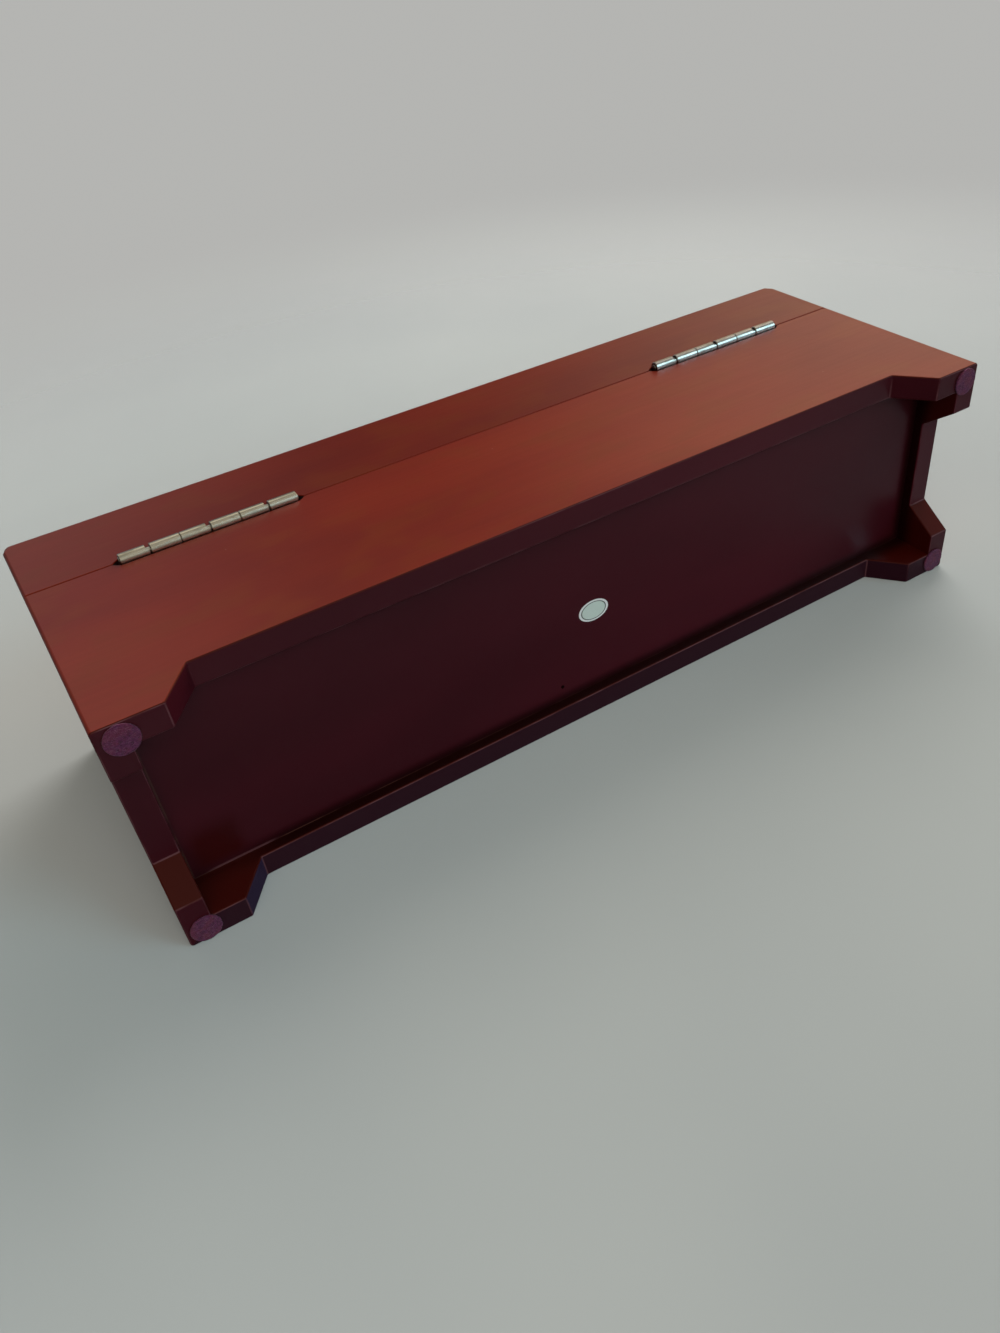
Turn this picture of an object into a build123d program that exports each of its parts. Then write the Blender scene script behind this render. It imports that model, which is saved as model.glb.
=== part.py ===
import os
from collections import namedtuple
from math import atan2, degrees

from build123d import *

# A long, narrow wooden box on cut-out feet, with a lid on two butt hinges.
# The box rests on its felt pads at Z = 0, and the origin is the middle of the case's footprint.
# X runs along the case and +Y points to the back, where the hinges are.

# Case
case_length = 331.0
case_depth = 89.2
body_height = 78.5
lid_height = 37.0
board_thickness = 9.0
seam_gap = 0.2
corner_radius = 1.2
lid_roundover = 3.0
lid_corner_ease = 2.0
rim_ease = 0.4

# Feet, cut out of the lower edges of the four boards
foot_height = 13.3
long_toe = 20.3
long_slope_run = 10.2
end_toe = 17.5
end_slope_run = 9.0
foot_corner_radius = 1.0
foot_ease = 0.6

# Bottom panel, held in grooves above the cut-outs
bottom_thickness = 4.0
bottom_recess = 4.1
groove_depth = 4.0
groove_clearance = 0.1
nail_hole_radius = 0.7
nail_hole_depth = 2.0
nail_hole_x = 14.7
nail_hole_inset = 6.0

# Lid panel, let into a rebate round the lid rails
lid_panel_thickness = 5.0
rebate_width = 3.5
rebate_clearance = 0.05

# Felt pads under the corners, stuck on by hand: the back right one sits further in
pad_radius = 5.15
pad_thickness = 0.8
pad_end_inset = 6.2
pad_side_inset = 5.4
back_right_pad_shift = 0.8

# Blank oval label under the bottom panel
label_length = 12.4
label_width = 8.5
label_thickness = 0.15
label_x = -0.6
label_y = -2.2
label_turn = 3.0

# Hinges
hinge_length = 60.4
hinge_end_distance = 30.0
barrel_offset = 0.6
leaf_thickness = 1.0
leaf_reach = 7.0
leaf_corner_radius = 0.6
pin_radius = 0.95
pin_clearance = 0.05
pin_projection = 0.3
pin_dome = 0.25
knuckle_pairs = 3
knuckle_gap = 0.4
notch_length = 1.1
notch_turn = 35.0
knuckle_play = 0.15
knuckle_chamfer = 0.2
slot_clearance = 0.4

# Mortises for the hinges in the two rims
mortise_clearance = 0.1
barrel_groove_clearance = 0.35
barrel_groove_runout = 3.5

# Countersunk screws, in a row along each leaf
screws_per_leaf = 3
screw_pitch = 21.0
screw_head_radius = 1.8
screw_shank_radius = 1.0
screw_length = 9.5
screw_tip = 2.0
screw_clearance = 0.05
leaf_land = 0.15
cross_slot_width = 0.45
cross_slot_length = 2.2
cross_slot_depth = 0.5

# Levels and places that follow from the sizes
toe_level = pad_thickness
recess_level = toe_level + foot_height
panel_level = recess_level + bottom_recess
rim_level = toe_level + body_height
lid_level = rim_level + seam_gap
lid_top = lid_level + lid_height
roundover_level = lid_top - lid_roundover
ledge_level = lid_top - lid_panel_thickness
back_face = case_depth / 2
inner_length = case_length - 2 * board_thickness
inner_depth = case_depth - 2 * board_thickness
hinge_places = {
    "left": -(case_length - hinge_length) / 2 + hinge_end_distance,
    "right": (case_length - hinge_length) / 2 - hinge_end_distance,
}
barrel_radius = pin_radius + pin_clearance + leaf_thickness
barrel_rise = seam_gap / 2
slot_edge = barrel_offset - barrel_radius - slot_clearance
knuckle_pitch = hinge_length / (2 * knuckle_pairs)
screw_head_height = leaf_thickness - leaf_land
screw_row = (slot_edge - leaf_reach) / 2

Side = namedtuple("Side", "plane span across toe slope_run")


def side_of_case(outward, span, across, toe, slope_run):
    """One side of the case: its plane has X along the board, Y into the box and Z up."""
    away = Vector(*outward)
    plane = Plane(origin=away * (across / 2), x_dir=Vector(0, 0, 1).cross(away), z_dir=(0, 0, 1))
    return Side(plane, span, across, toe, slope_run)


sides = {
    "front": side_of_case((0, -1, 0), case_length, case_depth, long_toe, long_slope_run),
    "back": side_of_case((0, 1, 0), case_length, case_depth, long_toe, long_slope_run),
    "left": side_of_case((-1, 0, 0), case_depth, case_length, end_toe, end_slope_run),
    "right": side_of_case((1, 0, 0), case_depth, case_length, end_toe, end_slope_run),
}


def finish(builder, name):
    """Name a finished piece and write it to its own file."""
    builder.part.label = name
    export_step(builder.part, f"parts/{name}.step")


def mitred_plan(side, level):
    """Plan of a board that is mitred at both ends, with the case's rounded upright corners."""
    half = side.span / 2
    with BuildSketch(side.plane.offset(level)) as plan:
        with BuildLine():
            Polyline(
                (-half, 0),
                (half, 0),
                (half - board_thickness, board_thickness),
                (-half + board_thickness, board_thickness),
                close=True,
            )
        make_face()
        with Locations((0, side.across / 2)):
            RectangleRounded(side.span, side.across, corner_radius, mode=Mode.INTERSECT)
    return plan.sketch


def section_plane(side):
    """Plane across a board, with X into the box and Y up."""
    return Plane(origin=side.plane.origin, x_dir=side.plane.y_dir, z_dir=side.plane.x_dir)


def wall_section(side):
    """Section of a body wall: eased rim, and the groove that holds the bottom panel."""
    groove_top = panel_level + bottom_thickness + groove_clearance
    groove_floor = board_thickness - groove_depth
    with BuildSketch(section_plane(side)) as section:
        with BuildLine():
            Polyline(
                (0, toe_level),
                (board_thickness, toe_level),
                (board_thickness, panel_level),
                (groove_floor, panel_level),
                (groove_floor, groove_top),
                (board_thickness, groove_top),
                (board_thickness, rim_level),
                (0, rim_level),
                close=True,
            )
        make_face()
        fillet(section.vertices().group_by(Axis.Y)[-1], radius=rim_ease)
    return section.sketch


def rail_section(side):
    """Section of a lid rail: rebated for the lid panel and eased at the rim."""
    with BuildSketch(section_plane(side)) as section:
        with BuildLine():
            Polyline(
                (0, lid_level),
                (board_thickness, lid_level),
                (board_thickness, ledge_level),
                (board_thickness - rebate_width, ledge_level),
                (board_thickness - rebate_width, lid_top),
                (0, lid_top),
                close=True,
            )
        make_face()
        fillet(section.vertices().group_by(Axis.Y)[0], radius=rim_ease)
    return section.sketch


def foot_outline(side):
    """Outline of a body wall seen from outside: a flat toe and a slope at each end."""
    half = side.span / 2
    toe_end = half - side.toe
    slope_end = toe_end - side.slope_run
    plane = Plane(origin=side.plane.origin, x_dir=side.plane.x_dir, z_dir=-side.plane.y_dir)
    with BuildSketch(plane) as outline:
        with BuildLine():
            Polyline(
                (-half, toe_level),
                (-toe_end, toe_level),
                (-slope_end, recess_level),
                (slope_end, recess_level),
                (toe_end, toe_level),
                (half, toe_level),
                (half, rim_level),
                (-half, rim_level),
                close=True,
            )
        make_face()
        fillet(
            outline.vertices().filter_by_position(Axis.X, -toe_end, toe_end),
            radius=foot_corner_radius,
        )
    return outline.sketch


def foot_edges(wall, side):
    """Lower edges of a wall's outer and inner faces, round the toes and the cut-out."""
    inward = Axis(side.plane.origin, side.plane.y_dir)
    flats = wall.faces().filter_by(inward).group_by(inward)
    edges = flats[0].edges() + flats[-1].edges()
    low = edges.filter_by_position(Axis.Z, toe_level, recess_level)
    return low.filter_by(Axis.Z, reverse=True)


def rim_frame(place, upward):
    """Frame on a rim over a hinge: Z out of the rim, Y out at the back, Y = 0 on the back face."""
    if upward:
        return Plane(origin=(place, back_face, rim_level), x_dir=(1, 0, 0), z_dir=(0, 0, 1))
    return Plane(origin=(place, back_face, lid_level), x_dir=(-1, 0, 0), z_dir=(0, 0, -1))


def screw_places():
    """Places of a leaf's screws, in the rim frame."""
    return GridLocations(screw_pitch, 1, screws_per_leaf, 1)


def cut_hinge_mortise(place, upward):
    """Cut a rim for one leaf, for its half of the barrel and for its screws."""
    frame = rim_frame(place, upward)
    pocket_reach = leaf_reach + mortise_clearance
    with BuildSketch(frame) as pocket:
        with Locations((0, -pocket_reach / 2)):
            Rectangle(hinge_length + 2 * mortise_clearance, pocket_reach)
    extrude(pocket.sketch, amount=-leaf_thickness, mode=Mode.SUBTRACT)
    groove_radius = barrel_radius + barrel_groove_clearance
    half = hinge_length / 2 + mortise_clearance
    barrel_frame = Plane(
        origin=frame.from_local_coords((0, barrel_offset, barrel_rise)),
        x_dir=frame.x_dir,
        z_dir=frame.z_dir,
    )
    with BuildSketch(barrel_frame) as groove:
        with BuildLine():
            Polyline(
                (-half - barrel_groove_runout, 0),
                (half + barrel_groove_runout, 0),
                (half, groove_radius),
                (-half, groove_radius),
                close=True,
            )
        make_face()
    revolve(groove.sketch, axis=Axis(barrel_frame.origin, barrel_frame.x_dir), mode=Mode.SUBTRACT)
    with Locations(frame.offset(-leaf_thickness)):
        with Locations((0, screw_row)):
            with screw_places():
                Hole(screw_shank_radius + screw_clearance, depth=screw_length - leaf_thickness)


def knuckle_spans(upward):
    """Middle and length of each knuckle of a leaf, along the rim frame's X."""
    spans = []
    for pair in range(knuckle_pairs):
        pair_end = hinge_length / 2 - 2 * pair * knuckle_pitch
        if upward:
            length = knuckle_pitch - knuckle_gap
            spans.append((pair_end - length / 2, length))
        else:
            length = knuckle_pitch - knuckle_play
            spans.append((length / 2 + knuckle_pitch - pair_end, length))
    return spans


os.makedirs("parts", exist_ok=True)

# Body walls
for name, side in sides.items():
    with BuildPart() as wall:
        extrude(mitred_plan(side, toe_level), amount=body_height)
        extrude(wall_section(side), amount=side.span / 2, both=True, mode=Mode.INTERSECT)
        extrude(foot_outline(side), amount=-board_thickness, mode=Mode.INTERSECT)
        fillet(foot_edges(wall, side), radius=foot_ease)
        if name == "back":
            for place in hinge_places.values():
                cut_hinge_mortise(place, upward=True)
    finish(wall, f"{name}_wall")

# Bottom panel
tongue = groove_depth - groove_clearance
with BuildPart() as bottom_panel:
    with BuildSketch(Plane.XY.offset(panel_level)):
        Rectangle(inner_length + 2 * tongue, inner_depth + 2 * tongue)
    extrude(amount=bottom_thickness)
    underside = Plane(origin=(0, 0, panel_level), x_dir=(1, 0, 0), z_dir=(0, 0, -1))
    with Locations(underside):
        with Locations((nail_hole_x, inner_depth / 2 - nail_hole_inset)):
            Hole(nail_hole_radius, depth=nail_hole_depth)
finish(bottom_panel, "bottom_panel")

# Blank label, stuck to the middle of the panel's underside
with BuildPart() as label:
    with BuildSketch(Plane.XY.offset(panel_level)):
        with Locations((label_x, label_y)):
            Ellipse(label_length / 2, label_width / 2, rotation=label_turn)
    extrude(amount=-label_thickness)
finish(label, "oval_label")

# Outside of the closed lid: its upright corners grow rounder towards the rounded top edges
with BuildPart() as lid_form:
    with BuildSketch(Plane.XY.offset(lid_level)):
        Rectangle(case_length, case_depth)
    extrude(amount=lid_height)
    top_edges = lid_form.faces().sort_by(Axis.Z)[-1].edges()
    fillet(lid_form.edges().filter_by(Axis.Z) + top_edges, radius=lid_roundover)
    split(bisect_by=Plane.XY.offset(roundover_level), keep=Keep.TOP)
    with BuildSketch(Plane.XY.offset(roundover_level)):
        RectangleRounded(case_length, case_depth, lid_roundover)
    with BuildSketch(Plane.XY.offset(roundover_level - lid_corner_ease)):
        RectangleRounded(case_length, case_depth, corner_radius)
    loft(ruled=True)
    with BuildSketch(Plane.XY.offset(lid_level)):
        RectangleRounded(case_length, case_depth, corner_radius)
    extrude(amount=roundover_level - lid_corner_ease - lid_level)

# Lid rails
for name, side in sides.items():
    with BuildPart() as rail:
        extrude(mitred_plan(side, lid_level), amount=lid_height)
        extrude(rail_section(side), amount=side.span / 2, both=True, mode=Mode.INTERSECT)
        add(lid_form, mode=Mode.INTERSECT)
        if name == "back":
            for place in hinge_places.values():
                cut_hinge_mortise(place, upward=False)
    finish(rail, f"lid_{name}_rail")

# Lid panel, resting on the rebate's ledge and flush with the rails
overlap = 2 * (rebate_width - rebate_clearance)
with BuildPart() as lid_panel:
    with BuildSketch(Plane.XY.offset(ledge_level)):
        Rectangle(inner_length + overlap, inner_depth + overlap)
    extrude(amount=lid_panel_thickness)
finish(lid_panel, "lid_panel")

# Felt pads
pad_x = case_length / 2 - pad_end_inset
pad_y = case_depth / 2 - pad_side_inset
pad_places = {
    "front_left": (-pad_x, -pad_y),
    "front_right": (pad_x, -pad_y),
    "back_left": (-pad_x, pad_y),
    "back_right": (pad_x - back_right_pad_shift, pad_y),
}
for name, place in pad_places.items():
    with BuildPart() as pad:
        with BuildSketch(Plane.XY):
            with Locations(place):
                Circle(pad_radius)
        extrude(amount=pad_thickness)
    finish(pad, f"{name}_felt_pad")

# Hinges: a leaf let into each rim, a pin through their knuckles, and screws through the leaves
leaf_owners = {"body": True, "lid": False}
countersink_angle = 2 * degrees(atan2(screw_head_radius - screw_shank_radius, screw_head_height))
for hinge_name, place in hinge_places.items():
    for owner, upward in leaf_owners.items():
        frame = rim_frame(place, upward)
        barrel_middle = frame.from_local_coords((0, barrel_offset, barrel_rise))
        with BuildPart() as leaf:
            with BuildSketch(frame):
                with Locations((0, (slot_edge - leaf_reach) / 2)):
                    RectangleRounded(hinge_length, leaf_reach + slot_edge, leaf_corner_radius)
                for middle, length in knuckle_spans(upward):
                    tab_length = barrel_offset - slot_edge + leaf_corner_radius
                    with Locations((middle, barrel_offset - tab_length / 2)):
                        Rectangle(length, tab_length)
            extrude(amount=-leaf_thickness)
            for middle, length in knuckle_spans(upward):
                ring_middle = frame.from_local_coords((middle, barrel_offset, barrel_rise))
                with BuildSketch(Plane(origin=ring_middle, x_dir=frame.y_dir, z_dir=frame.x_dir)):
                    Circle(barrel_radius)
                extrude(amount=length / 2, both=True)
            barrel_rims = leaf.edges().filter_by(GeomType.CIRCLE).group_by(SortBy.RADIUS)[-1]
            chamfer(barrel_rims, length=knuckle_chamfer)
            with BuildSketch(Plane(origin=barrel_middle, x_dir=frame.y_dir, z_dir=frame.x_dir)):
                Circle(pin_radius + pin_clearance)
            extrude(amount=hinge_length / 2, both=True, mode=Mode.SUBTRACT)
            if upward:
                through_pin = Plane(origin=barrel_middle, x_dir=frame.x_dir, z_dir=frame.y_dir)
                with BuildSketch(through_pin.rotated((notch_turn, 0, 0))):
                    for middle, length in knuckle_spans(upward):
                        with Locations((middle - (length - notch_length) / 2, 0)):
                            Rectangle(notch_length, 2 * barrel_radius)
                extrude(amount=barrel_radius, mode=Mode.SUBTRACT)
            with Locations(frame):
                with Locations((0, screw_row)):
                    with screw_places():
                        CounterSinkHole(
                            screw_shank_radius + screw_clearance,
                            screw_head_radius + screw_clearance,
                            depth=leaf_thickness,
                            counter_sink_angle=countersink_angle,
                        )
        finish(leaf, f"{hinge_name}_hinge_{owner}_leaf")

        with BuildPart() as screws:
            with Locations(frame):
                with Locations((0, screw_row)):
                    with screw_places():
                        with Locations((0, 0, -screw_head_height / 2)):
                            Cone(screw_shank_radius, screw_head_radius, screw_head_height)
                        shank = screw_length - screw_head_height - screw_tip
                        with Locations((0, 0, -screw_head_height - shank / 2)):
                            Cylinder(screw_shank_radius, shank)
                        with Locations((0, 0, screw_tip / 2 - screw_length)):
                            Cone(0, screw_shank_radius, screw_tip)
                        for turn in (0, 90):
                            Box(
                                cross_slot_length,
                                cross_slot_width,
                                2 * cross_slot_depth,
                                rotation=(0, 0, turn),
                                mode=Mode.SUBTRACT,
                            )
        finish(screws, f"{hinge_name}_hinge_{owner}_screws")

    pin_frame = rim_frame(place, upward=True)
    pin_middle = pin_frame.from_local_coords((0, barrel_offset, barrel_rise))
    with BuildPart() as pin:
        with BuildSketch(Plane(origin=pin_middle, x_dir=(0, 1, 0), z_dir=(1, 0, 0))):
            Circle(pin_radius)
        extrude(amount=hinge_length / 2 + pin_projection, both=True)
        fillet(pin.edges().filter_by(GeomType.CIRCLE), radius=pin_dome)
    finish(pin, f"{hinge_name}_hinge_pin")
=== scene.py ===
import math
import random

import bmesh
import bpy
from bpy.props import FloatProperty, FloatVectorProperty, IntProperty, PointerProperty
from bpy.types import Operator, Panel, PropertyGroup
from mathutils import Matrix, Vector, noise


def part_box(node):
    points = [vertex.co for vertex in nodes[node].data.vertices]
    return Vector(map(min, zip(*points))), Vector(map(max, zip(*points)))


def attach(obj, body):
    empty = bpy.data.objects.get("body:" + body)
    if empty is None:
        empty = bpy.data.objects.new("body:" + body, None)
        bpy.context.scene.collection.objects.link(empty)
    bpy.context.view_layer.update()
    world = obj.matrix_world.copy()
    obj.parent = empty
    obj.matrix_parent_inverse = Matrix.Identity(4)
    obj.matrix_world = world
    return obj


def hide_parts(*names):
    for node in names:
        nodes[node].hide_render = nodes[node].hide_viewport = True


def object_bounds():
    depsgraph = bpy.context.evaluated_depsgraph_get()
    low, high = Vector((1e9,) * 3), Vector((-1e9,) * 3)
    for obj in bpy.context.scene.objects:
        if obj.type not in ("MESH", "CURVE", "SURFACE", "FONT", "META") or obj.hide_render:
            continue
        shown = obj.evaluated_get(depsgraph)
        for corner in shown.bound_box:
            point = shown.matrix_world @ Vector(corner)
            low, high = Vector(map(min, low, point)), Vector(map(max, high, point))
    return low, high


bl_info = {
    "name": "Wooden Storage Box",
    "version": (1, 0, 0),
    "blender": (4, 5, 0),
    "location": "3D View > Sidebar > Storage Box",
    "description": "Finishes a lacquered wooden storage box with a hinged lid and sets its studio",
    "category": "Object",
}

# The frame holds the box at its real size, in metres, standing on its pads at Z = 0.
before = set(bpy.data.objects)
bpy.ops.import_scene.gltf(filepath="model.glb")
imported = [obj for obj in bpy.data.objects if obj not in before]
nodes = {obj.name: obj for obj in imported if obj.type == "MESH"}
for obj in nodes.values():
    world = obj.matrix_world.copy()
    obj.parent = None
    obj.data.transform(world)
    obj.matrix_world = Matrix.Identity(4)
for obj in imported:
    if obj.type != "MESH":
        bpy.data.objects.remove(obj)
cad_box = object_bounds()

MM = 0.001

# Boards by the way their grain runs
LONG_BOARDS = {
    "case": ["front_wall", "back_wall", "bottom_panel"],
    "lid": ["lid_front_rail", "lid_back_rail", "lid_panel"],
}
END_BOARDS = {
    "case": ["left_wall", "right_wall"],
    "lid": ["lid_left_rail", "lid_right_rail"],
}
GROOVED_BOARDS = ("back_wall", "lid_back_rail")
FELT_PADS = sorted(n for n in nodes if n.endswith("_felt_pad"))
HINGE_LEAVES = sorted(n for n in nodes if n.endswith("_leaf"))
HINGE_STEEL = sorted(n for n in nodes if n.endswith(("_pin", "_screws")))
LABEL = "oval_label"

# Outer and inner faces of the case, as distances from its middle: the front and left mirror them
WALL_LOW, WALL_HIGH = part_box("back_wall")
BACK, RIGHT = WALL_HIGH.y, WALL_HIGH.x
INNER_BACK = WALL_LOW.y
INNER_RIGHT = RIGHT - (BACK - INNER_BACK)

# Levels of the case: under the panel, and under the walls between the feet
PANEL_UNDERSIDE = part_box("bottom_panel")[0].z
WALL_UNDERSIDE = PANEL_UNDERSIDE - 4.1 * MM


def colour_property(name, description, default):
    return FloatVectorProperty(
        name=name, description=description, subtype="COLOR", size=3, min=0, max=1, default=default
    )


def length_property(name, description, default):
    return FloatProperty(
        name=name, description=description, unit="LENGTH", min=0, default=default, precision=5
    )


def factor_property(name, description, default):
    return FloatProperty(
        name=name, description=description, subtype="FACTOR", min=0, max=1, default=default
    )


def power_property(name, description, default):
    return FloatProperty(
        name=name, description=description, unit="POWER", min=0, default=default
    )


def vector_property(name, description, default, unit="NONE"):
    return FloatVectorProperty(
        name=name, description=description, unit=unit, size=len(default), default=default
    )


class LacquerSettings(PropertyGroup):
    """Stain and lacquer of the boards"""

    dark_stain: colour_property(
        "Dark stain", "Colour of the darkest patches", (0.128, 0.008, 0.004)
    )
    stain: colour_property("Stain", "Colour of most of the wood", (0.172, 0.013, 0.0044))
    light_stain: colour_property(
        "Light stain", "Colour of the lightest patches", (0.205, 0.0215, 0.006)
    )
    warm_stain: colour_property("Warm stain", "Colour of browner blotches", (0.165, 0.0205, 0.0036))
    # Under the case: a darker stain with painted shade and a painted purple reflection
    underside_stain_and_shade: colour_property("Foot stain", "Colour under the case", (0.048, 0.0044, 0.0085))
    # Under the front wall: a darker stain with painted shade and a painted bluish reflection
    front_underside_stain_and_shade: colour_property(
        "Front foot stain", "Colour under the front wall", (0.029, 0.0064, 0.012)
    )
    # Painted bluish reflection of the table on the front wall's slopes that face left
    painted_table_reflection: colour_property("Cool stain", "Colour of its right slope", (0.034, 0.0165, 0.043))
    # Painted red reflection on the panel by the front right foot
    red_reflection_tone: colour_property("Red stain", "Colour of the red patch", (0.034, 0.001, 0.0014))
    # Painted shadow in the grooves for the hinge barrels
    groove_shadow: colour_property(
        "Groove stain", "Colour in the hinges' grooves", (0.01, 0.003, 0.0025)
    )
    # Painted warm reflection: the end walls' slopes are browner than the faces around them
    slope_reflection_tone: colour_property(
        "Slope stain", "Colour of the end walls' slopes", (0.05, 0.0052, 0.0034)
    )
    # Painted shade on the upright faces inside the feet
    inner_feet_shade: colour_property("Inner stain", "Colour inside the feet", (0.05, 0.0026, 0.0012))
    # Painted highlight along the arrises that face down; also the colour of a lighter streak on the
    # panel
    highlight_and_streak: colour_property(
        "Worn stain", "Colour of arrises and of smears", (0.13, 0.05, 0.056)
    )
    dust: colour_property("Dust", "Colour of specks of dust in the lacquer", (0.42, 0.30, 0.28))
    # A thin lighter line along the panel's joints
    glue: colour_property("Glue", "Colour of glue around the panel", (0.08, 0.03, 0.022))
    # Painted shade in the recess corners, where the panel meets the front and left walls
    corner_shade_colour: colour_property("Corner stain", "Colour of gathered stain", (0.006, 0.001, 0.001))
    shaded: factor_property("Gathered stain", "Share of stain gathered in corners", 0.85)
    blotch_share: factor_property("Blotch", "How brown the middle of a blotch is", 0.55)
    pore_share: factor_property("Pore", "How dark an open pore is", 0.35)
    speck_share: factor_property("Speck", "How much a speck of dust shows", 0.45)
    patch_length: length_property("Patch length", "Length of a patch of even tone", 0.14)
    blotch_length: length_property("Blotch length", "Length of a browner blotch", 0.026)
    streak_length: length_property("Streak length", "Length of a streak of grain", 0.06)
    streak_width: length_property("Streak width", "Width of a streak of grain", 0.0011)
    pore_length: length_property("Pore length", "Length of an open pore", 0.0035)
    pore_width: length_property("Pore width", "Width of an open pore", 0.00022)
    peel_length: length_property("Peel length", "Length of a ripple in the lacquer", 0.003)
    peel_width: length_property("Peel width", "Width of a ripple in the lacquer", 0.0026)
    speck_spacing: length_property("Speck spacing", "Distance between specks of dust", 0.009)
    roughness: factor_property("Roughness", "Roughness of the stained wood", 0.38)
    coat: factor_property("Lacquer", "Weight of the clear lacquer", 0.75)
    coat_roughness: factor_property("Lacquer roughness", "Roughness of the clear lacquer", 0.26)
    arris_coat: factor_property(
        "Lacquer on arrises", "Weight of the lacquer on rounded edges", 0.04
    )
    lid_shade: factor_property("Lid shade", "Brightness of the lid against the case", 0.80)


class MetalSettings(PropertyGroup):
    """Finish of the hinges"""

    nickel: colour_property("Nickel", "Colour of the plated leaves", (0.66, 0.62, 0.55))
    dull_nickel: colour_property(
        "Dull nickel", "Colour where the plating has dulled", (0.42, 0.39, 0.33)
    )
    steel: colour_property("Steel", "Colour of the pins and screws", (0.56, 0.55, 0.52))
    # Painted shade on faces that face along the hinge, such as the knuckles' ends
    knuckle_end_shade: colour_property(
        "Cut ends", "Colour of the cut ends of the knuckles", (0.045, 0.04, 0.036)
    )
    brush_length: length_property("Brush length", "Length of a brush mark", 0.006)
    brush_width: length_property("Brush width", "Width of a brush mark", 0.00012)
    dull_length: length_property("Dull length", "Length of a dulled patch", 0.006)
    dull_width: length_property("Dull width", "Width of a dulled patch", 0.0015)


class FeltSettings(PropertyGroup):
    """Pads under the feet"""

    felt: colour_property("Felt", "Colour of the pressed felt", (0.108, 0.018, 0.066))
    red_felt: colour_property("Red felt", "Colour of its redder patches", (0.132, 0.018, 0.036))
    dark_felt: colour_property("Dark felt", "Colour between the tufts", (0.042, 0.007, 0.024))
    pale_fibre: colour_property("Pale fibre", "Colour of the palest fibres", (0.27, 0.12, 0.19))
    tuft: length_property("Tuft", "Size of a tuft of pressed felt", 0.0007)
    hue_patch: length_property("Hue patch", "Size of a redder patch", 0.0036)
    fray: length_property("Fray", "How far the rim strays from a circle", 0.00012)
    fibres: IntProperty(name="Fibres", description="Loose fibres on each pad", min=0, default=420)
    fibre_length: length_property("Fibre length", "Length of a loose fibre", 0.0011)
    fibre_width: length_property("Fibre width", "Thickness of a loose fibre", 0.00004)


class LabelSettings(PropertyGroup):
    """Blank label under the bottom panel"""

    paper: colour_property("Paper", "Colour of the border", (0.86, 0.86, 0.85))
    field: colour_property("Field", "Colour inside the ring", (0.66, 0.76, 0.69))
    ring: colour_property("Ring", "Colour of the printed ring", (0.035, 0.06, 0.045))
    pulp: colour_property("Pulp", "Colour of fibres in the paper", (0.45, 0.44, 0.40))
    turn: FloatProperty(
        name="Turn", description="Turn of the oval", unit="ROTATION", default=math.radians(3)
    )
    ring_place: factor_property(
        "Ring place", "Place of the ring, as a share of the way to the rim", 0.79
    )
    ring_width: factor_property(
        "Ring width", "Width of the ring, as a share of the way to the rim", 0.065
    )


class StudioSettings(PropertyGroup):
    """Floor, light and camera"""

    ground: colour_property("Ground", "Colour of the floor and the table", (0.455, 0.475, 0.475))
    pale_ground: colour_property(
        "Pale ground", "Colour of their paler clouds", (0.525, 0.538, 0.528)
    )
    bounce: colour_property("Bounce", "Colour that they throw back on the box", (0.16, 0.16, 0.18))
    backdrop: colour_property("Backdrop", "Colour behind the ground", (0.46, 0.46, 0.445))
    cloud: length_property("Cloud", "Size of a paler cloud", 0.35)
    ground_radius: length_property("Ground radius", "Radius of the floor and the table", 3.0)
    fade_start: length_property("Fade start", "Where the ground starts to fade", 0.18)
    fade_end: length_property("Fade end", "Where the ground is gone", 0.75)
    key_power: power_property("Key", "Power of the main lamp", 7.5)
    fill_power: power_property("Fill", "Power of the front lamp", 12.0)
    top_power: power_property("Top", "Power of the lamp over the lid", 7.0)
    room_power: power_property("Room", "Power of the lamp below", 5.0)
    dim_sky: colour_property("Dim sky", "Light from where nothing glows", (0.03, 0.03, 0.032))
    strength: FloatProperty(
        name="Sky strength", description="Strength of every glow of the sky", default=1.0
    )
    lens: FloatProperty(name="Lens", description="Focal length in millimetres", default=28.42)
    lens_shift: vector_property("Shift", "Shift of the lens to the right and up", (-0.0344, 0.0245))
    camera_place: vector_property(
        "Camera", "Place of the camera", (0.1631, 0.2148, -0.2365), "LENGTH"
    )
    camera_aim: vector_property(
        "Aim", "Point on the middle of the view", (0.0301, -0.0177, 0.004), "LENGTH"
    )
    camera_up: vector_property("Up", "Direction that is up in the view", (-0.4041, 0.7591, 0.5103))


class StorageBoxSettings(PropertyGroup):
    """All settings of the storage box"""

    lacquer: PointerProperty(type=LacquerSettings)
    metal: PointerProperty(type=MetalSettings)
    felt: PointerProperty(type=FeltSettings)
    label: PointerProperty(type=LabelSettings)
    studio: PointerProperty(type=StudioSettings)


def settings():
    return bpy.context.scene.storage_box


# Shader nodes


def add_node(tree, kind, inputs=None, **values):
    """Adds a node. Each input is a constant, or the output socket that feeds it."""
    node = tree.nodes.new(kind)
    for name, value in values.items():
        setattr(node, name, value)
    for socket, value in (inputs or {}).items():
        if isinstance(value, bpy.types.NodeSocket):
            tree.links.new(value, node.inputs[socket])
        else:
            node.inputs[socket].default_value = value
    return node


def rgba(colour):
    return (*colour, 1.0)


def maths(tree, operation, first, second=0.0):
    return add_node(tree, "ShaderNodeMath", {0: first, 1: second}, operation=operation).outputs[0]


def absolute(tree, value):
    return maths(tree, "ABSOLUTE", value)


def product(tree, *values):
    """The product of two or more values."""
    total, *others = values
    for value in others:
        total = maths(tree, "MULTIPLY", total, value)
    return total


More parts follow.
